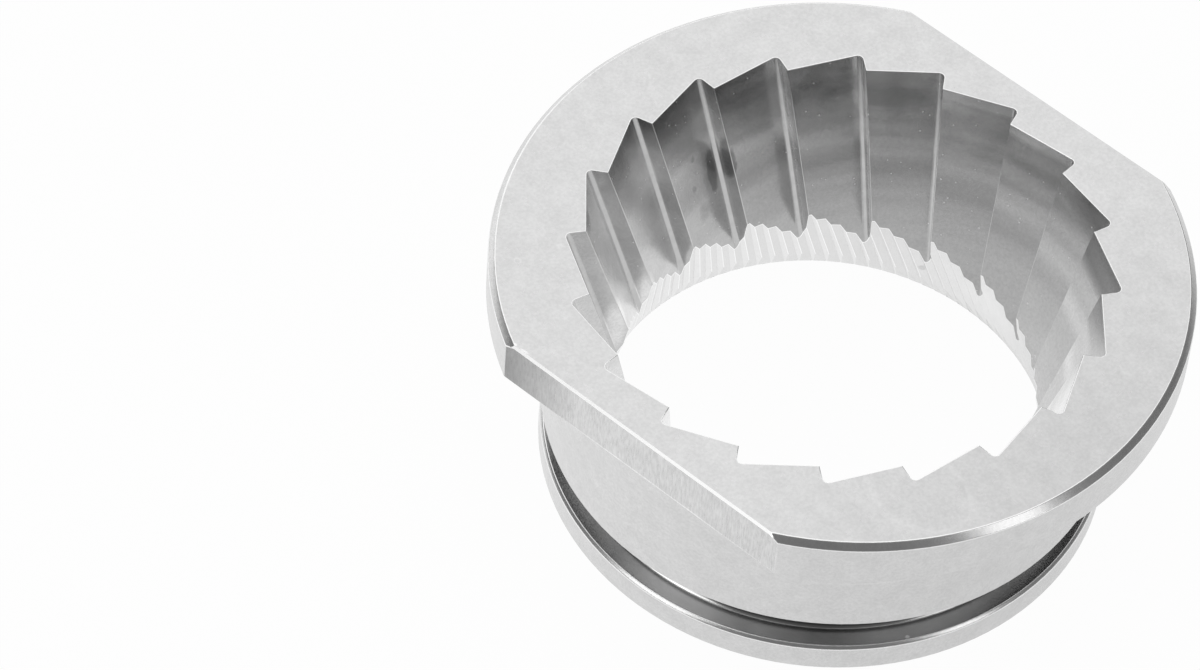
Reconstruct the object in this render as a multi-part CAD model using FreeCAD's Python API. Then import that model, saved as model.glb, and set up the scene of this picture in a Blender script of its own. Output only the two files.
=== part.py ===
import FreeCAD, Part
import math
import os

# Outer shape of the ring, in millimetres. The bottom face lies on Z = 0.
flange_diameter = 60.0
across_flats = 52.1
flange_thickness = 4.65
overall_height = 24.0
body_diameter = 49.8
rim_diameter = 49.6
rim_height = 2.85
groove_diameter = 45.0
groove_width = 3.55

# Broken edges and rounds.
flange_chamfer = 0.55
flat_edge_break = 0.2
rim_chamfer = 0.27
groove_corner_round = 0.3

# Coarse saw teeth that feed the beans down. Every groove between them is one straight
# cut with two plane flanks. Its root line is given by radius and angle at the top face
# and at the bottom face; the depth of the teeth is measured at the top face.
coarse_teeth = 20
coarse_root_radius_top = 23.65
coarse_tooth_depth = 1.8
coarse_root_radius_bottom = 17.74
coarse_root_lead = 1.24
coarse_root_twist = -10.18
coarse_root_round = 0.45

# Fine saw teeth in the lower band, which opens downwards. Their root lines are given
# at the bottom face and at the height where the band is wholly inside the mouth, the
# tips at the bottom face.
fine_teeth_per_coarse = 5
fine_band_height = 10.5
fine_root_radius_bottom = 20.07
fine_root_radius_top = 17.55
fine_root_phase = -14.06
fine_root_twist = 7.64
fine_tooth_depth = 0.26
fine_tip_lead = -1.59

# Turned outlet at the bottom face, which trims the tips of the fine teeth to a smooth rim.
outlet_radius = 20.03
outlet_taper = 20.0
outlet_height = 3.0

# Turn of the whole tooth pattern about Z, relative to the two flats.
tooth_pattern_angle = -1.18

# How far the cutting bodies run past the faces they cut.
run_out = 1.0

full_turn = 360.0
centre = FreeCAD.Vector(0, 0, 0)
upward = FreeCAD.Vector(0, 0, 1)


def polar(radius, angle, height):
    turn = math.radians(angle)
    return FreeCAD.Vector(radius * math.cos(turn), radius * math.sin(turn), height)


def profile_point(radius, height):
    return FreeCAD.Vector(radius, 0, height)


def revolved(outline):
    face = Part.Face(Part.Wire(outline))
    return face.revolve(centre, upward, full_turn)


def corner_round(before, corner, after, radius):
    """Start, middle and end of the arc that rounds a corner, tangent to both sides."""
    to_before = (before - corner).normalize()
    to_after = (after - corner).normalize()
    half = to_before.getAngle(to_after) / 2
    bisector = (to_before + to_after).normalize()
    reach = radius / math.tan(half)
    heart = radius / math.sin(half)
    return corner + to_before * reach, corner + bisector * (heart - radius), corner + to_after * reach


def turned_body():
    """The ring before the flats and the teeth are cut: flange, body, groove and rim."""
    flange = flange_diameter / 2
    body = body_diameter / 2
    rim = rim_diameter / 2
    floor = groove_diameter / 2
    groove_top = rim_height + groove_width
    corner = profile_point(floor, rim_height)
    start, middle, end = corner_round(
        profile_point(floor, groove_top), corner, profile_point(rim, rim_height), groove_corner_round
    )
    outer = [
        profile_point(0, overall_height),
        profile_point(flange - flange_chamfer, overall_height),
        profile_point(flange, overall_height - flange_chamfer),
        profile_point(flange, overall_height - flange_thickness),
        profile_point(body, overall_height - flange_thickness),
        profile_point(body, groove_top),
        profile_point(floor, groove_top),
        start,
    ]
    lower = [
        end,
        profile_point(rim - rim_chamfer, rim_height),
        profile_point(rim, rim_height - rim_chamfer),
        profile_point(rim, 0),
        profile_point(0, 0),
        profile_point(0, overall_height),
    ]
    edges = [Part.makeLine(a, b) for a, b in zip(outer, outer[1:])]
    edges.append(Part.Arc(start, middle, end).toShape())
    edges += [Part.makeLine(a, b) for a, b in zip(lower, lower[1:])]
    return revolved(edges)


def flat_cutter(side):
    """Everything beyond one flat of the flange, with the broken edge at the top face."""
    flat = across_flats / 2
    reach = flange_diameter
    top = overall_height + run_out
    section = [
        (flat, -run_out),
        (reach, -run_out),
        (reach, top),
        (flat - flat_edge_break - run_out, top),
        (flat - flat_edge_break, overall_height),
        (flat, overall_height - flat_edge_break),
    ]
    corners = [FreeCAD.Vector(-reach, side * y, z) for y, z in section]
    face = Part.Face(Part.makePolygon(corners + corners[:1]))
    return face.extrude(FreeCAD.Vector(2 * reach, 0, 0))


def turned(vector, angle):
    return FreeCAD.Rotation(upward, angle).multVec(vector)


def on_line(line, height):
    """The point at the given height on a straight line through a point."""
    point, direction = line
    return point + direction * ((height - point.z) / direction.z)


def tip_line(root_line, tip, pitch):
    """The edge where the flank of one groove meets the flank of the next groove."""
    root, along = root_line
    next_root, next_along = turned(root, -pitch), turned(along, -pitch)
    flank = along.cross(tip - root)
    next_flank = next_along.cross(tip - next_root)
    return tip, flank.cross(next_flank)


def saw_bore(count, root_low, root_high, tip, heights):
    """The space inside a ring of saw teeth, with its root edges, between two heights."""
    pitch = full_turn / count
    root_line = (root_low, root_high - root_low)
    lines = (root_line, tip_line(root_line, tip, pitch))
    outlines = []
    for height in heights:
        corners = []
        for tooth in range(count):
            turn = tooth_pattern_angle - pitch * tooth
            corners += [turned(on_line(line, height), turn) for line in lines]
        outlines.append(corners)
    low, high = outlines
    faces = [Part.Face(Part.makePolygon(corners + corners[:1])) for corners in outlines]
    for here in range(len(low)):
        after = (here + 1) % len(low)
        flank = [low[here], low[after], high[after], high[here], low[here]]
        faces.append(Part.Face(Part.makePolygon(flank)))
    solid = Part.makeSolid(Part.makeShell(faces))
    roots = list(zip(low[::2], high[::2]))
    return solid, roots


def edge_between(solid, ends):
    """The straight edge of a solid that joins two of its corners."""
    middle = Part.Vertex((ends[0] + ends[1]) / 2)
    return min(solid.Edges, key=lambda edge: edge.distToShape(middle)[0])


def coarse_bore():
    root_low = polar(coarse_root_radius_bottom, coarse_root_lead + coarse_root_twist, 0)
    root_high = polar(coarse_root_radius_top, coarse_root_lead, overall_height)
    tip = polar(coarse_root_radius_top - coarse_tooth_depth, 0, overall_height)
    heights = (-run_out, overall_height + run_out)
    bore, roots = saw_bore(coarse_teeth, root_low, root_high, tip, heights)
    return bore.makeFillet(coarse_root_round, [edge_between(bore, ends) for ends in roots])


def fine_bore():
    root_low = polar(fine_root_radius_bottom, fine_root_phase, 0)
    root_high = polar(fine_root_radius_top, fine_root_phase + fine_root_twist, fine_band_height)
    tip = polar(fine_root_radius_bottom - fine_tooth_depth, fine_root_phase + fine_tip_lead, 0)
    heights = (-run_out, fine_band_height)
    bore, roots = saw_bore(coarse_teeth * fine_teeth_per_coarse, root_low, root_high, tip, heights)
    return bore


def outlet():
    slope = math.tan(math.radians(outlet_taper))
    below = outlet_radius + slope * run_out
    above = outlet_radius - slope * outlet_height
    return Part.makeCone(below, above, run_out + outlet_height, FreeCAD.Vector(0, 0, -run_out))


def ring_burr():
    ring = turned_body()
    for side in (1, -1):
        ring = ring.cut(flat_cutter(side))
    return ring.cut(coarse_bore()).cut(fine_bore()).cut(outlet())


os.makedirs("parts", exist_ok=True)
shape = ring_burr()
shape.exportStep("parts/ring_burr.step")
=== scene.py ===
from math import cos, pi, radians, sin

import bmesh
import bpy
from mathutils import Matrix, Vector


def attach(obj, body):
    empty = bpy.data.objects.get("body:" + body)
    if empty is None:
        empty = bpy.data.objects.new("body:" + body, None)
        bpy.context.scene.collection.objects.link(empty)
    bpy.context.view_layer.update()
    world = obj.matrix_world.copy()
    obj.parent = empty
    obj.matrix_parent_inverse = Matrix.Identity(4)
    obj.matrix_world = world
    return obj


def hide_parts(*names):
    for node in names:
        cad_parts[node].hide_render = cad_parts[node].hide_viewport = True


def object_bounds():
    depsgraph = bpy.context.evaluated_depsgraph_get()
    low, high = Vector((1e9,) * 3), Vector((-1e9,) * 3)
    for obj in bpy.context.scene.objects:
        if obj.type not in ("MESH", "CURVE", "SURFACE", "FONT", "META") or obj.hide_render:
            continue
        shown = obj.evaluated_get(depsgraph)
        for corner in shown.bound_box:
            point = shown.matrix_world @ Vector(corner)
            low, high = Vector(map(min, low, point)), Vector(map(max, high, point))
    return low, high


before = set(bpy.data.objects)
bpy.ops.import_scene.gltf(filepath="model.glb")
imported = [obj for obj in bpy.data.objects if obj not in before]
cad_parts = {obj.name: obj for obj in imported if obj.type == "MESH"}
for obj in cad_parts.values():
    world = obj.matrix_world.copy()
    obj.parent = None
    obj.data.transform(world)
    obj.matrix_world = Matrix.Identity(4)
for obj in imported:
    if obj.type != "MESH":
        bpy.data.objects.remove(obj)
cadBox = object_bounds()
mm = 0.001
plainWhite = (1.0, 1.0, 1.0, 1.0)

# Camera, as the photograph was taken
camera = {
    "place": (0.17691, -0.25877, 0.39875),
    "turn": (38.8669, -2.7980, 41.4822),  # degrees about X, Y, Z
    "lens": 173.66,
    "sensorWidth": 36.0,
    "clip": (0.01, 100.0),
}

# Studio: azimuth and elevation as seen from the part, in degrees; level is how bright the face of a lamp
# is, where 1 is plain white
studio = {
    "lamps": {
        "roof": {"azimuth": 142, "elevation": 60, "distance": 1.2, "size": (1.8, 2.6), "level": 0.87},
        "backCard": {"azimuth": 178, "elevation": 4, "distance": 1.2, "size": (1.2, 0.3), "level": 0.9},
        "leftBox": {"azimuth": -106, "elevation": 31, "distance": 0.9, "size": (0.44, 0.5), "level": 1.6},
        "rightBox": {"azimuth": 2, "elevation": 29, "distance": 0.9, "size": (0.28, 0.5), "level": 1.5},
    },
    "roomLevel": 0.2,  # share of plain white, from all around
    "floorSize": 60.0,  # metres
    "floorColour": 0.92,
    "floorGlow": 0.97,  # share of plain white where the camera sees the floor
    # The same where polished steel mirrors the floor: it dims from left to right, a painted shade for the
    # ring's shadow on the floor
    "mirroredGlow": {"left": 0.93, "right": 0.68, "leftEnd": -12 * mm, "rightEnd": 35 * mm},
}


def socketsOf(group, direction, rows):
    for name, kind, value in rows:
        socket = group.interface.new_socket(name=name, in_out=direction, socket_type=kind)
        if direction == "INPUT":
            socket.default_value = value


def newGroup(name, inputs, outputs):
    group = bpy.data.node_groups.new(name, "ShaderNodeTree")
    socketsOf(group, "INPUT", inputs)
    socketsOf(group, "OUTPUT", [(output, "NodeSocketFloat", None) for output in outputs])
    start = group.nodes.new("NodeGroupInput")
    end = group.nodes.new("NodeGroupOutput")
    return group, start, end


def fill(tree, node, inputs):
    for key, value in inputs.items():
        if isinstance(value, bpy.types.NodeSocket):
            tree.links.new(value, node.inputs[key])
        else:
            node.inputs[key].default_value = value


def addNode(tree, kind, inputs=None, **settings):
    node = tree.nodes.new(kind)
    for key, value in settings.items():
        setattr(node, key, value)
    fill(tree, node, inputs or {})
    return node


def calc(tree, operation, first, second=0.0, third=0.0, clamp=False):
    inputs = {0: first, 1: second, 2: third}
    return addNode(tree, "ShaderNodeMath", inputs, operation=operation, use_clamp=clamp).outputs[0]


def calcVector(tree, operation, first, second):
    return addNode(tree, "ShaderNodeVectorMath", {0: first, 1: second}, operation=operation).outputs[0]


# Value between two numbers, where the input runs between two others
def spread(tree, value, low, high, fromLow=0.0, fromHigh=1.0):
    inputs = {"Value": value, "From Min": fromLow, "From Max": fromHigh, "To Min": low, "To Max": high}
    return addNode(tree, "ShaderNodeMapRange", inputs).outputs[0]


# Noise inside the groups
noises = {
    "lines": {"detail": 3.0, "roughness": 0.6},
    "clouds": {"roughness": 0.55, "black": 0.25, "white": 0.75},
    "specks": {"smallest": 0.4, "largest": 1.0, "core": 0.5},  # shares of the size that is asked for
    "shake": {"perMetre": 900.0, "detail": 3.0, "middle": (0.5, 0.5, 0.5)},  # tears the rim of a mark
}


# Fine tool lines that run round the axis, at equal radius and height
def makeTurnedLines():
    group, start, end = newGroup(
        "Turned lines",
        [("Vector", "NodeSocketVector", (0, 0, 0)), ("Lines per metre", "NodeSocketFloat", 7000.0)],
        ["Mask"],
    )
    flat = calcVector(group, "MULTIPLY", start.outputs["Vector"], (1.0, 1.0, 0.0))
    radius = addNode(group, "ShaderNodeVectorMath", {0: flat}, operation="LENGTH").outputs["Value"]
    height = addNode(group, "ShaderNodeSeparateXYZ", {0: start.outputs["Vector"]}).outputs["Z"]
    section = addNode(group, "ShaderNodeCombineXYZ", {0: radius, 1: height}).outputs[0]
    noise = addNode(group, "ShaderNodeTexNoise", {
        "Vector": section,
        "Scale": start.outputs["Lines per metre"],
        "Detail": noises["lines"]["detail"],
        "Roughness": noises["lines"]["roughness"],
    })
    group.links.new(noise.outputs["Fac"], end.inputs["Mask"])
    return group


# Clouds stretched along the axes: mottle, grain, tool lines and soft waves, by size and stretch
def makeClouds():
    group, start, end = newGroup(
        "Clouds",
        [
            ("Vector", "NodeSocketVector", (0, 0, 0)),
            ("Stretch", "NodeSocketVector", (1, 1, 1)),
            ("Clouds per metre", "NodeSocketFloat", 250.0),
            ("Detail", "NodeSocketFloat", 3.0),
        ],
        ["Mask"],
    )
    stretched = calcVector(group, "MULTIPLY", start.outputs["Vector"], start.outputs["Stretch"])
    noise = addNode(group, "ShaderNodeTexNoise", {
        "Vector": stretched,
        "Scale": start.outputs["Clouds per metre"],
        "Detail": start.outputs["Detail"],
        "Roughness": noises["clouds"]["roughness"],
    })
    mask = addNode(group, "ShaderNodeMapRange", {
        "Value": noise.outputs["Fac"],
        "From Min": noises["clouds"]["black"],
        "From Max": noises["clouds"]["white"],
    }, interpolation_type="SMOOTHSTEP")
    group.links.new(mask.outputs[0], end.inputs["Mask"])
    return group


# Sparse small round specks of dust
def makeSpecks():
    group, start, end = newGroup(
        "Specks",
        [
            ("Vector", "NodeSocketVector", (0, 0, 0)),
            ("Specks per metre", "NodeSocketFloat", 600.0),
            ("Share", "NodeSocketFloat", 0.06),
            ("Size", "NodeSocketFloat", 0.1),
        ],
        ["Mask"],
    )
    cells = addNode(group, "ShaderNodeTexVoronoi", {
        "Vector": start.outputs["Vector"],
        "Scale": start.outputs["Specks per metre"],
    })
    draw = addNode(group, "ShaderNodeSeparateColor", {0: cells.outputs["Color"]})
    chosen = calc(group, "LESS_THAN", draw.outputs["Red"], start.outputs["Share"])
    values = noises["specks"]
    share = spread(group, draw.outputs["Green"], values["smallest"], values["largest"])
    size = calc(group, "MULTIPLY", start.outputs["Size"], share)
    core = calc(group, "MULTIPLY", size, values["core"])
    spot = spread(group, cells.outputs["Distance"], 1.0, 0.0, core, size)
    group.links.new(calc(group, "MULTIPLY", chosen, spot), end.inputs["Mask"])
    return group


# One mark with a ragged edge: filled, and as an outline
def makeMark():
    group, start, end = newGroup(
        "Mark",
        [
            ("Vector", "NodeSocketVector", (0, 0, 0)),
            ("Centre", "NodeSocketVector", (0, 0, 0)),
            ("Reach", "NodeSocketVector", (1, 1, 1)),
            ("Ragged", "NodeSocketFloat", 0.0),
            ("Softness", "NodeSocketFloat", 0.3),
        ],
        ["Fill", "Outline"],
    )
    noise = addNode(group, "ShaderNodeTexNoise", {
        "Vector": start.outputs["Vector"],
        "Scale": noises["shake"]["perMetre"],
        "Detail": noises["shake"]["detail"],
    })
    shaken = calcVector(group, "SUBTRACT", noise.outputs["Color"], noises["shake"]["middle"])
    inputs = {0: shaken, "Scale": start.outputs["Ragged"]}
    shake = addNode(group, "ShaderNodeVectorMath", inputs, operation="SCALE").outputs[0]
    place = calcVector(group, "ADD", start.outputs["Vector"], shake)
    away = calcVector(group, "SUBTRACT", place, start.outputs["Centre"])
    away = calcVector(group, "DIVIDE", away, start.outputs["Reach"])
    distance = addNode(group, "ShaderNodeVectorMath", {0: away}, operation="LENGTH").outputs["Value"]
    inner = calc(group, "SUBTRACT", 1.0, start.outputs["Softness"])
    group.links.new(spread(group, distance, 1.0, 0.0, inner, 1.0), end.inputs["Fill"])
    rim = calc(group, "ABSOLUTE", calc(group, "SUBTRACT", distance, 1.0))
    group.links.new(spread(group, rim, 1.0, 0.0, 0.0, start.outputs["Softness"]), end.inputs["Outline"])
    return group


groups = {
    "turnedLines": makeTurnedLines(),
    "clouds": makeClouds(),
    "specks": makeSpecks(),
    "mark": makeMark(),
}


def addGroup(tree, key, inputs):
    node = tree.nodes.new("ShaderNodeGroup")
    node.node_tree = groups[key]
    fill(tree, node, inputs)
    return node


# Finishes of the steel: plain colour, the painted sheen it gains where it is seen at a grazing angle, how far
# tone and roughness wander, and the depth of the relief. What is per metre says how fine a noise is. Waves,
# lines and grain make their share of the tone, and the mottle makes the rest; speckShare is how many specks
# show.
steel = {
    "ground": {
        "name": "Ground steel",
        "colour": 0.68, "tone": 0.095, "roughness": 0.3, "wander": 0.03, "depth": 0.0004 * mm,
        "mottlePerMetre": 420.0, "reliefPerMetre": 1700.0, "grainPerMetre": 3600.0, "grainShare": 0.58,
    },
    "turned": {
        "name": "Turned steel",
        "colour": 0.7, "tone": 0.085, "roughness": 0.25, "wander": 0.03, "depth": 0.0012 * mm,
        "mottlePerMetre": 600.0, "grainPerMetre": 3600.0, "grainShare": 0.58, "linesPerMetre": 6500.0,
    },
    "groove": {
        "name": "Groove steel",
        "colour": 0.58, "tone": 0.05, "roughness": 0.18, "wander": 0.04, "depth": 0.0005 * mm,
        "mottlePerMetre": 500.0, "grainPerMetre": 3600.0, "grainShare": 0.3, "linesPerMetre": 3000.0,
    },
    "milled": {
        "name": "Milled steel",
        "colour": 0.7, "tone": 0.16, "roughness": 0.32, "wander": 0.06, "depth": 0.006 * mm,
        "linesPerMetre": 6500.0, "lineStretch": (1.0, 1.0, 0.18), "lineShare": 0.75, "mottlePerMetre": 700.0,
    },
    "coarse": {
        "name": "Coarse tooth steel",
        "colour": 0.44, "grazing": 0.48, "tone": 0.14, "roughness": 0.24, "wander": 0.03, "depth": 0.012 * mm,
        "wavesPerMetre": 420.0, "waveStretch": (0.12, 0.12, 1.0), "waveShare": 0.28, "mottlePerMetre": 350.0,
        "grainPerMetre": 3600.0, "grainShare": 0.45,
        "specksPerMetre": 1200.0, "speckShare": 0.7, "speckSize": 0.11, "speckRoughness": 0.25,
    },
    # Roots and tips of the coarse teeth: the same steel painted lighter than the flanks, as painted
    # highlights
    "root": {
        "name": "Tooth root steel",
        "colour": 0.55, "tone": 0.06, "roughness": 0.2, "wander": 0.03, "depth": 0.0004 * mm,
        "mottlePerMetre": 900.0,
    },
    "tip": {
        "name": "Tooth tip steel",
        "colour": 0.64, "tone": 0.1, "roughness": 0.2, "wander": 0.04, "depth": 0.0004 * mm,
        "mottlePerMetre": 900.0,
    },
    "fine": {
        "name": "Fine tooth steel",
        "colour": 0.76, "tone": 0.03, "roughness": 0.2, "wander": 0.03, "depth": 0.001 * mm,
        "linesPerMetre": 5000.0, "lineStretch": (1.0, 1.0, 0.1), "lineShare": 0.5, "mottlePerMetre": 500.0,
    },
    # Short flanks and tips of the fine teeth: the same steel painted lighter, as painted highlights
    "fineShort": {
        "name": "Fine short flank steel",
        "colour": 0.84, "tone": 0.02, "roughness": 0.2, "wander": 0.03, "depth": 0.0004 * mm,
        "mottlePerMetre": 900.0,
    },
    "fineTip": {
        "name": "Fine tip steel",
        "colour": 1.0, "tone": 0.03, "roughness": 0.2, "wander": 0.03, "depth": 0.0004 * mm,
        "mottlePerMetre": 900.0,
    },
    "outlet": {
        "name": "Outlet steel",
        "colour": 0.76, "tone": 0.03, "roughness": 0.2, "wander": 0.03, "depth": 0.0004 * mm,
        "mottlePerMetre": 900.0,
    },
    # Broken edges: lighter than the faces beside them, partly a burnished edge and partly a painted highlight
    "edge": {
        "name": "Broken edge steel",
        "colour": 0.92, "tone": 0.04, "roughness": 0.2, "wander": 0.04, "depth": 0.0004 * mm,
        "mottlePerMetre": 900.0,
    },
    "flatEdge": {
        "name": "Flat edge steel",
        "colour": 0.58, "tone": 0.06, "roughness": 0.2, "wander": 0.04, "depth": 0.0004 * mm,
        "mottlePerMetre": 900.0,
    },
}

finishes = list(steel)  # the order of the ring's materials
outerFinishes = {"ground", "turned", "groove", "milled"}

# Octaves of each noise: the more, the rougher it looks
octaves = {
    "waves": 1.0,
    "relief": 2.0,
    "lines": 3.0,
    "edge": 3.0,
    "grain": 4.0,
    "mottle": 5.0,
    "groundMottle": 6.0,
}

# Marks of use, and zones of painted light and shade, lighter or darker than the rest. Each row holds the
# centre, the reach and how far the rim is torn, all in millimetres, the share of the reach that it fades
# over, and the share by which the tone rises or falls.
marksAndPaintedLight = {
    "ground": [
        # Small drop beside the front flat
        ((-18.5, -15.2, 24.0), (0.4, 0.4, 9.0), 0.3, 0.7, 0.07),
        # Scratch near the right edge
        ((24.8, 7.3, 24.0), (0.9, 0.35, 9.0), 0.8, 0.8, 0.1),
        # Burr at the left corner of the front flat
        ((-14.1, -25.8, 24.0), (0.3, 0.16, 9.0), 0.4, 0.4, 0.3),
        ((-13.0, -25.7, 24.0), (0.5, 0.14, 9.0), 0.4, 0.4, 0.25),
        # Right side of the top face, a little darker: painted shade
        ((27.0, -3.0, 24.0), (24.0, 34.0, 9.0), 0.5, 0.9, -0.11),
    ],
    "turned": [
        # Chamfer of the flange at the right, darker: painted shade that dims its highlight
        ((25.0, 15.6, 23.75), (8.0, 14.0, 0.85), 0.1, 0.9, -0.42),
        # Fine line on the body
        ((18.3, -16.8, 12.1), (4.6, 4.6, 0.12), 0.12, 0.6, 0.06),
        # Right end of the front flat, lighter: a painted highlight
        ((14.9, -26.05, 21.4), (0.12, 0.12, 3.0), 0.05, 0.7, 0.09),
    ],
    "groove": [
        # Painted shade in the corner at the foot of the floor
        ((0.0, 0.0, 3.4), (90.0, 90.0, 0.54), 0.02, 0.4, -0.75),
        # Ledge: two lighter stretches and two darker ones, painted highlights and painted shade
        ((3.4, -24.0, 2.85), (6.5, 4.5, 1.0), 0.3, 0.9, 0.9),
        ((-15.6, -18.6, 2.85), (3.4, 3.4, 1.0), 0.3, 0.9, 1.0),
        ((15.3, -18.3, 2.85), (5.5, 5.5, 1.0), 0.3, 0.8, -0.42),
        ((23.8, -4.0, 2.85), (3.0, 5.5, 1.0), 0.3, 0.8, -0.3),
        # Speck on the ledge
        ((20.4, -13.2, 2.85), (0.22, 0.22, 0.4), 0.1, 0.4, 1.2),
    ],
    "milled": [
        # Darker left end of the front flat: painted shade
        ((-15.5, -26.05, 21.5), (9.0, 9.0, 14.0), 0.8, 0.95, -0.55),
        # Painted highlights: light lines along its lower edge and right end
        ((2.0, -26.05, 19.46), (13.2, 9.0, 0.15), 0.06, 0.5, 0.24),
        ((14.9, -26.05, 21.4), (0.12, 0.12, 3.0), 0.05, 0.7, 0.09),
    ],
    "coarse": [
        # Stain on both sides of a root, and faint spots near it
        ((-19.5, 6.65, 14.3), (3.0, 0.72, 2.6), 0.7, 0.22, -0.4),
        ((-18.8, 7.7, 15.4), (1.2, 0.4, 2.2), 0.5, 0.25, -0.4),
        ((-18.6, 4.7, 11.0), (0.5, 0.7, 1.9), 0.8, 0.6, -0.2),
        ((-20.25, 4.53, 17.1), (0.35, 0.35, 0.4), 0.2, 0.5, -0.25),
        ((-19.36, 4.05, 14.2), (0.35, 0.35, 0.4), 0.2, 0.5, -0.2),
        # Painted reflections: darker tops at the right and the left, and a lighter one between them
        ((15.8, 15.0, 24.4), (10.8, 11.5, 3.9), 0.2, 0.35, -0.44),
        ((-22.5, 0.5, 24.4), (10.0, 13.0, 4.5), 0.3, 0.8, -0.6),
        ((-8.5, 20.0, 24.6), (18.0, 13.5, 7.0), 0.4, 1.0, 1.15),
        # Lighter flanks at the near side and at the right: painted light
        ((-9.3, -19.9, 20.0), (16.0, 10.0, 9.0), 0.3, 0.8, 0.2),
        ((-1.0, -22.0, 20.0), (8.0, 6.0, 9.0), 0.2, 0.6, 0.12),
        ((21.5, 0.8, 22.0), (4.5, 4.5, 4.5), 0.2, 0.7, 0.28),
        # Painted reflections: bands round the mouth, two darker and three lighter
        ((-10.0, 9.0, 14.0), (30.0, 26.0, 2.0), 0.3, 0.9, -0.22),
        ((3.0, 12.0, 16.95), (36.0, 30.0, 1.5), 0.2, 0.8, 0.25),
        ((4.0, 19.0, 19.5), (18.0, 14.0, 1.0), 0.2, 0.9, 0.22),
        ((-3.0, 12.0, 21.45), (34.0, 26.0, 1.25), 0.2, 0.8, -0.27),
        ((1.0, 22.5, 24.1), (11.5, 9.0, 1.3), 0.2, 0.7, 0.75),
        # Lower flanks, darker at the left and lighter at the right: painted shade and painted light
        ((-17.0, 10.0, 10.5), (13.0, 15.0, 5.0), 0.3, 0.9, -0.1),
        ((14.0, 14.0, 8.0), (10.0, 9.0, 4.5), 0.3, 0.9, 0.12),
        # Painted shade: a dark strip under the top face at the right
        ((18.0, 12.5, 24.3), (9.0, 8.0, 1.4), 0.3, 0.8, -0.32),
        # Flanks at the near left, painted light and shade: two light feet, a dark top and a light one
        ((-18.15, -3.4, 7.6), (1.3, 1.1, 2.9), 0.2, 0.5, 0.42),
        ((-16.4, -9.5, 9.5), (1.4, 1.5, 4.4), 0.2, 0.5, 0.4),
        ((-18.8, -11.2, 24.3), (1.5, 1.5, 2.2), 0.1, 0.5, -0.55),
        ((-21.4, -7.0, 23.2), (1.0, 1.1, 2.0), 0.1, 0.5, 0.3),
    ],
    "fine": [
        # Far side, lighter: painted light
        ((3.3, 18.7, 5.0), (12.0, 8.0, 12.0), 0.1, 0.9, 0.17),
        # Small stain
        ((-4.26, 18.67, 3.4), (0.5, 0.5, 0.45), 0.3, 0.4, -0.18),
    ],
    "fineTip": [
        # Far side, darker: painted shade that dims the painted highlight on the tips
        ((5.0, 18.4, 5.0), (11.0, 7.0, 12.0), 0.1, 0.7, -0.14),
    ],
}

# The same for marks of which only the outline shows
outlines = {
    "ground": [
        # A large dried drop, and a small one
        ((20.2, -14.3, 24.0), (4.6, 3.6, 9.0), 0.9, 0.12, 0.05),
        ((-20.0, -18.9, 24.0), (0.28, 0.28, 9.0), 0.1, 0.4, 0.09),
    ],
}


def newMaterial(key):
    material = bpy.data.materials.new(steel[key]["name"])
    material.use_nodes = True
    tree = material.node_tree
    shader = tree.nodes["Principled BSDF"]
    shader.inputs["Metallic"].default_value = 1.0
    place = tree.nodes.new("ShaderNodeTexCoord").outputs["Object"]
    return material, tree, shader, place


# Tone of a finish: its mottle, every mark of use on it, and the light and shade painted on it
def addTone(tree, place, key, mask):
    values = steel[key]
    tone = spread(tree, mask, 1.0 - values["tone"], 1.0 + values["tone"])
    rows = [("Outline", row) for row in outlines.get(key, [])]
    rows += [("Fill", row) for row in marksAndPaintedLight.get(key, [])]
    for part, (centre, reach, ragged, softness, change) in rows:
        mark = addGroup(tree, "mark", {
            "Vector": place,
            "Centre": Vector(centre) * mm,
            "Reach": Vector(reach) * mm,
            "Ragged": ragged * mm,
            "Softness": softness,
        })
        tone = calc(tree, "MULTIPLY", tone, spread(tree, mark.outputs[part], 1.0, 1.0 + change))
    return tone


# Joins tone, roughness and relief to the shader, and gives back the colour for what lies on it
def finishSteel(tree, shader, place, key, mask, rough, relief):
    values = steel[key]
    tone = addTone(tree, place, key, mask)
    facing = addNode(tree, "ShaderNodeLayerWeight").outputs["Facing"]
    # The colour grows lighter towards a grazing angle: a painted sheen
    slant = calc(tree, "MULTIPLY", facing, facing)  # none face on, full at a grazing angle
    plain = calc(tree, "MULTIPLY_ADD", slant, values.get("grazing", 0.0), values["colour"])
    grey = calc(tree, "MULTIPLY", tone, plain, clamp=True)
    colour = addNode(tree, "ShaderNodeCombineColor", {0: grey, 1: grey, 2: grey})
    tree.links.new(colour.outputs[0], shader.inputs["Base Color"])
    low, high = values["roughness"] - values["wander"], values["roughness"] + values["wander"]
    tree.links.new(spread(tree, rough, low, high), shader.inputs["Roughness"])
    bump = addNode(tree, "ShaderNodeBump", {"Distance": values["depth"], "Height": relief})
    tree.links.new(bump.outputs[0], shader.inputs["Normal"])
    return colour.outputs[0]


def clouds(tree, place, perMetre, kind, stretch=(1.0, 1.0, 1.0)):
    inputs = {"Vector": place, "Stretch": stretch, "Clouds per metre": perMetre, "Detail": octaves[kind]}
    return addGroup(tree, "clouds", inputs).outputs[0]


# Masks added up, each by its share
def mixMasks(tree, parts):
    mixed = 0.0
    for mask, share in parts:
        mixed = calc(tree, "MULTIPLY_ADD", mask, share, mixed)
    return mixed


def groundSteel(key):
    values = steel[key]
    material, tree, shader, place = newMaterial(key)
    mottle = clouds(tree, place, values["mottlePerMetre"], "groundMottle")
    relief = clouds(tree, place, values["reliefPerMetre"], "relief")
    grain = clouds(tree, place, values["grainPerMetre"], "grain")
    mixed = mixMasks(tree, [(mottle, 1.0 - values["grainShare"]), (grain, values["grainShare"])])
    finishSteel(tree, shader, place, key, mixed, relief, relief)
    return material


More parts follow.
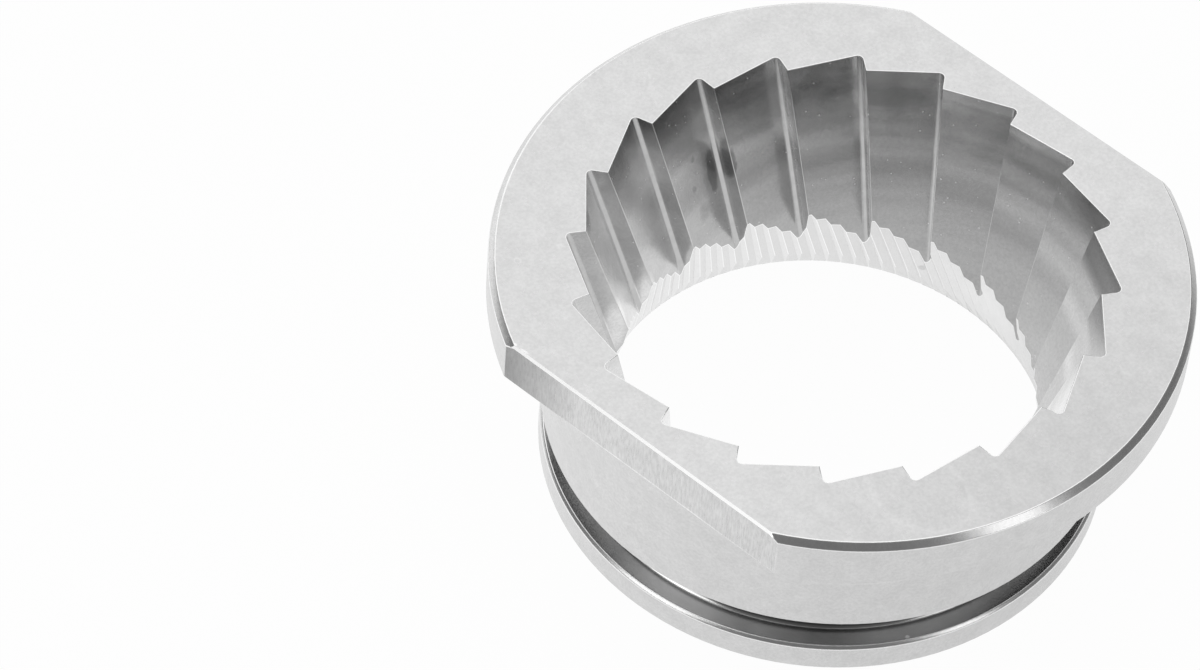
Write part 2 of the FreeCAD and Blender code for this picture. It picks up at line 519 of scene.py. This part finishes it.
def turnedSteel(key):
    values = steel[key]
    material, tree, shader, place = newMaterial(key)
    inputs = {"Vector": place, "Lines per metre": values["linesPerMetre"]}
    lines = addGroup(tree, "turnedLines", inputs).outputs[0]
    mottle = clouds(tree, place, values["mottlePerMetre"], "mottle")
    grain = clouds(tree, place, values["grainPerMetre"], "grain")
    mixed = mixMasks(tree, [(mottle, 1.0 - values["grainShare"]), (grain, values["grainShare"])])
    finishSteel(tree, shader, place, key, mixed, lines, lines)
    return material


# Straight tool lines that run up the part, on the flats and on the fine teeth
def linedSteel(key):
    values = steel[key]
    material, tree, shader, place = newMaterial(key)
    lines = clouds(tree, place, values["linesPerMetre"], "lines", values["lineStretch"])
    mottle = clouds(tree, place, values["mottlePerMetre"], "mottle")
    mixed = mixMasks(tree, [(mottle, 1.0 - values["lineShare"]), (lines, values["lineShare"])])
    finishSteel(tree, shader, place, key, mixed, lines, lines)
    return material


# Polished flanks of the coarse teeth: soft waves across them, stains and dust, and bands and zones of painted
# light and shade
def coarseSteel(key):
    values = steel[key]
    material, tree, shader, place = newMaterial(key)
    waves = clouds(tree, place, values["wavesPerMetre"], "waves", values["waveStretch"])
    mottle = clouds(tree, place, values["mottlePerMetre"], "mottle")
    grain = clouds(tree, place, values["grainPerMetre"], "grain")
    rest = 1.0 - values["waveShare"] - values["grainShare"]
    mixed = mixMasks(tree, [(waves, values["waveShare"]), (mottle, rest), (grain, values["grainShare"])])
    colour = finishSteel(tree, shader, place, key, mixed, mottle, waves)
    dust = addGroup(tree, "specks", {
        "Vector": place,
        "Specks per metre": values["specksPerMetre"],
        "Share": values["speckShare"],
        "Size": values["speckSize"],
    }).outputs[0]
    # Inputs 6 and 7 and output 2 are the colours of the mix
    dusty = addNode(tree, "ShaderNodeMix", {"Factor": dust, 6: colour, 7: plainWhite}, data_type="RGBA")
    tree.links.new(dusty.outputs[2], shader.inputs["Base Color"])
    polish = shader.inputs["Roughness"].links[0].from_socket
    rough = calc(tree, "MULTIPLY_ADD", dust, values["speckRoughness"], polish)
    tree.links.new(rough, shader.inputs["Roughness"])
    return material


# Narrow strip: a broken edge, a tip, a root, or the short flank of a fine tooth
def edgeSteel(key):
    material, tree, shader, place = newMaterial(key)
    mottle = clouds(tree, place, steel[key]["mottlePerMetre"], "edge")
    finishSteel(tree, shader, place, key, mottle, mottle, mottle)
    return material


# Every finish that isn't named here is a narrow strip
makers = {
    "ground": groundSteel,
    "turned": turnedSteel,
    "groove": turnedSteel,
    "milled": linedSteel,
    "fine": linedSteel,
    "coarse": coarseSteel,
}

# The ring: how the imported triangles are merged, where its flats and its groove lie, and how wide its edges
# are broken
ring = {
    "node": "ring_burr",
    "slot": "burr_steel",
    "mergeDistance": 0.002 * mm,
    "flatAngle": 0.4,  # degrees: neighbours within it are one plane
    "sharpAngle": 24.0,  # degrees: edges above it are real edges
    "height": cadBox[1][2],
    "flat": cadBox[1][1],  # distance of the two flats from the axis
    "flatBreak": 0.2 * mm,
    "grooveBottom": 2.85 * mm,
    "grooveTop": 6.4 * mm,
    "grooveRadius": 22.5 * mm,
    "grooveRound": 0.3 * mm,
    "outerBreak": 0.08 * mm,
    "mouthBreak": 0.08 * mm,
    "tipBreak": 0.05 * mm,
    "fineBreak": 0.04 * mm,
    "breakSegments": 2,
    "breakProfile": 0.5,  # round
    "tolerance": 0.01 * mm,
}

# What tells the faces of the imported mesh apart: how their normals lie
sorting = {
    "level": 0.999,  # how much of its normal points up or down on a level face, at least
    "upright": 0.1,  # and on an upright face, at most
    "outletTurn": 0.05,  # normals turned sideways by less belong to the turned outlet
    "shortTurn": 0.36,  # by more, to the short flanks of the fine teeth
    "rootTurn": -0.86,  # between this and zero, to the roots of the coarse teeth
    "flatTurn": 0.001,  # the flats face straight along Y
    "reach": 1.1,  # a narrow face is looked for this far, as a share of its width
}


def radiusOf(point):
    return Vector((point.x, point.y)).length


# Which finish a face of the ring has, from where it lies and how it faces
def finishOf(face):
    middle, normal = face.calc_center_median(), face.normal
    radius, slack = radiusOf(middle), ring["tolerance"]
    outward = (normal.x * middle.x + normal.y * middle.y) / radius
    sideways = (normal.x * middle.y - normal.y * middle.x) / radius
    inGroove = ring["grooveBottom"] - slack < middle.z < ring["grooveTop"] + slack
    if abs(normal.z) > sorting["level"]:
        if inGroove:
            return "groove"
        return "turned" if slack < middle.z < ring["height"] - slack else "ground"
    if outward < 0 and normal.z < -sorting["upright"]:
        if abs(sideways) < sorting["outletTurn"]:
            return "outlet"
        return "fineShort" if abs(sideways) > sorting["shortTurn"] else "fine"
    if outward < 0:
        return "root" if sorting["rootTurn"] < sideways < 0 else "coarse"
    facesAlongY = abs(normal.x) < sorting["flatTurn"]
    if facesAlongY and abs(middle.y) > ring["flat"] - sorting["reach"] * ring["flatBreak"]:
        return "milled" if abs(normal.z) < sorting["upright"] else "flatEdge"
    if inGroove and radius < ring["grooveRadius"] + sorting["reach"] * ring["grooveRound"]:
        return "groove"
    return "turned"


def isSharp(edge):
    return len(edge.link_faces) == 2 and edge.calc_face_angle() > radians(ring["sharpAngle"])


# Sharp edges whose two faces have the named finishes
def edgesBetween(work, first, second, convex=True):
    chosen = []
    for edge in work.edges:
        if isSharp(edge) and edge.is_convex == convex:
            one, other = [finishes[face.material_index] for face in edge.link_faces]
            if one in first and other in second or one in second and other in first:
                chosen.append(edge)
    return chosen


def bevelEdges(work, edges, width):
    return bmesh.ops.bevel(
        work, geom=edges, offset=width, offset_type="OFFSET", affect="EDGES", clamp_overlap=False,
        segments=ring["breakSegments"], profile=ring["breakProfile"], material=-1,
    )["faces"]


def breakEdges(work, edges, width, finish="edge"):
    made = bevelEdges(work, edges, width)
    for face in made:
        face.material_index = finishes.index(finish)
    print("edges broken:", len(edges), "new faces:", len(made))


# The rounded corner of the groove comes as thousands of slivers: it is cut out and bridged anew
def renewGrooveCorner(work):
    low, high = ring["grooveRadius"], ring["grooveRadius"] + ring["grooveRound"]
    top = ring["grooveBottom"] + ring["grooveRound"]
    slack = ring["tolerance"]
    corner = []
    for face in work.faces:
        spots = [(radiusOf(vert.co), vert.co.z) for vert in face.verts]
        inside = all(low - slack < radius < high + slack and z < top + slack for radius, z in spots)
        if inside and finishes[face.material_index] == "groove":
            corner.append(face)
    bmesh.ops.delete(work, geom=corner, context="FACES")
    rims = [edge for edge in work.edges if edge.is_boundary]
    bridge = bmesh.ops.bridge_loops(work, edges=rims)["faces"]
    for face in bridge:
        face.material_index = finishes.index("groove")
    bmesh.ops.recalc_face_normals(work, faces=work.faces)
    print("groove corner:", len(corner), "slivers out,", len(bridge), "faces in")


# Broken edges that stand upright or lie under the flange look like the turned faces beside them
def calmFlangeEdges(work):
    for face in work.faces:
        upright = abs(face.normal.z) < sorting["upright"]
        under = face.normal.z < sorting["upright"] and radiusOf(face.calc_center_median()) > ring["flat"]
        if finishes[face.material_index] == "edge" and (upright or under):
            face.material_index = finishes.index("turned")


def shapeRing(mesh, packed):
    work = bmesh.new()
    work.from_mesh(packed)
    bmesh.ops.remove_doubles(work, verts=work.verts, dist=ring["mergeDistance"])
    work.normal_update()
    for face in work.faces:
        face.material_index = finishes.index(finishOf(face))
    renewGrooveCorner(work)
    bmesh.ops.dissolve_limit(
        work, angle_limit=radians(ring["flatAngle"]), verts=work.verts, edges=work.edges,
        delimit={"MATERIAL"},
    )
    bevelEdges(work, edgesBetween(work, {"groove"}, {"groove"}, convex=False), ring["outerBreak"])
    breakEdges(work, edgesBetween(work, outerFinishes, outerFinishes), ring["outerBreak"])
    calmFlangeEdges(work)
    breakEdges(work, edgesBetween(work, {"ground"}, {"coarse", "root"}), ring["mouthBreak"])
    breakEdges(work, edgesBetween(work, {"coarse"}, {"coarse"}), ring["tipBreak"], "tip")
    serration = edgesBetween(work, {"fine", "fineShort", "outlet"}, {"coarse", "root", "ground"})
    fineTips = edgesBetween(work, {"fine"}, {"fineShort"})
    breakEdges(work, serration + fineTips, ring["fineBreak"], "fineTip")
    for face in work.faces:
        face.smooth = True
    for edge in work.edges:
        edge.smooth = not isSharp(edge)
    print("open edges:", sum(1 for edge in work.edges if not edge.is_manifold))
    work.to_mesh(mesh)
    work.free()


def buildRing():
    mesh = bpy.data.meshes.new("ringBurr")
    shapeRing(mesh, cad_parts[ring["node"]].data)
    for key in finishes:
        maker = makers.get(key, edgeSteel)
        mesh.materials.append(maker(key))
    piece = bpy.data.objects.new("ringBurr", mesh)
    bpy.context.scene.collection.objects.link(piece)
    shading = piece.modifiers.new("Weighted normals", "WEIGHTED_NORMAL")
    shading.keep_sharp = True
    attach(piece, "root")
    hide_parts(ring["node"])
    print("ring built:", len(mesh.polygons), "faces")


def direction(azimuth, elevation):
    around, up = radians(azimuth), radians(elevation)
    return Vector((cos(around) * cos(up), sin(around) * cos(up), sin(up)))


def addLamp(name):
    values = studio["lamps"][name]
    lamp = bpy.data.lights.new(name, "AREA")
    lamp.shape = "RECTANGLE"
    lamp.size, lamp.size_y = values["size"]
    lamp.energy = values["level"] * pi * lamp.size * lamp.size_y
    holder = bpy.data.objects.new(name, lamp)
    away = direction(values["azimuth"], values["elevation"])
    holder.location = away * values["distance"]
    holder.rotation_euler = away.to_track_quat("Z", "Y").to_euler()
    bpy.context.scene.collection.objects.link(holder)


def buildStudio():
    world = bpy.data.worlds.new("Room")
    world.use_nodes = True
    level = studio["roomLevel"]
    world.node_tree.nodes["Background"].inputs["Color"].default_value = (level, level, level, 1.0)
    bpy.context.scene.world = world
    for name in studio["lamps"]:
        addLamp(name)
    print("studio lit")


def buildFloor():
    mesh = bpy.data.meshes.new("floor")
    work = bmesh.new()
    bmesh.ops.create_grid(work, x_segments=1, y_segments=1, size=studio["floorSize"] / 2)
    work.to_mesh(mesh)
    work.free()
    material = bpy.data.materials.new("White floor")
    material.use_nodes = True
    tree = material.node_tree
    tree.nodes.clear()
    white = studio["floorColour"]
    diffuse = addNode(tree, "ShaderNodeBsdfDiffuse", {"Color": (white, white, white, 1.0)})
    lit = addNode(tree, "ShaderNodeEmission", {"Color": plainWhite})
    path = addNode(tree, "ShaderNodeLightPath")
    mirrored = calc(tree, "MAXIMUM", path.outputs["Is Glossy Ray"], path.outputs["Is Transmission Ray"])
    glow = studio["mirroredGlow"]
    place = addNode(tree, "ShaderNodeTexCoord").outputs["Object"]
    across = addNode(tree, "ShaderNodeSeparateXYZ", {0: place}).outputs["X"]
    # Painted shade: where the steel mirrors the floor, it dims from left to right as if the ring shadowed it
    level = spread(tree, across, glow["left"], glow["right"], glow["leftEnd"], glow["rightEnd"])
    mirrored = calc(tree, "MULTIPLY", mirrored, level)
    seen = calc(tree, "MULTIPLY", path.outputs["Is Camera Ray"], studio["floorGlow"])
    share = calc(tree, "MAXIMUM", seen, mirrored)
    mixed = addNode(tree, "ShaderNodeMixShader", {0: share, 1: diffuse.outputs[0], 2: lit.outputs[0]})
    addNode(tree, "ShaderNodeOutputMaterial", {"Surface": mixed.outputs[0]})
    mesh.materials.append(material)
    floor = bpy.data.objects.new("floor", mesh)
    bpy.context.scene.collection.objects.link(floor)
    print("floor laid")


def buildCamera():
    lens = bpy.data.cameras.new("camera")
    lens.lens = camera["lens"]
    lens.sensor_width = camera["sensorWidth"]
    lens.sensor_fit = "HORIZONTAL"
    lens.clip_start, lens.clip_end = camera["clip"]
    holder = bpy.data.objects.new("camera", lens)
    holder.location = camera["place"]
    holder.rotation_euler = [radians(angle) for angle in camera["turn"]]
    bpy.context.scene.collection.objects.link(holder)
    bpy.context.scene.camera = holder
    print("camera set")


buildCamera()
buildRing()
buildStudio()
buildFloor()
bpy.context.scene.view_settings.view_transform = "Standard"
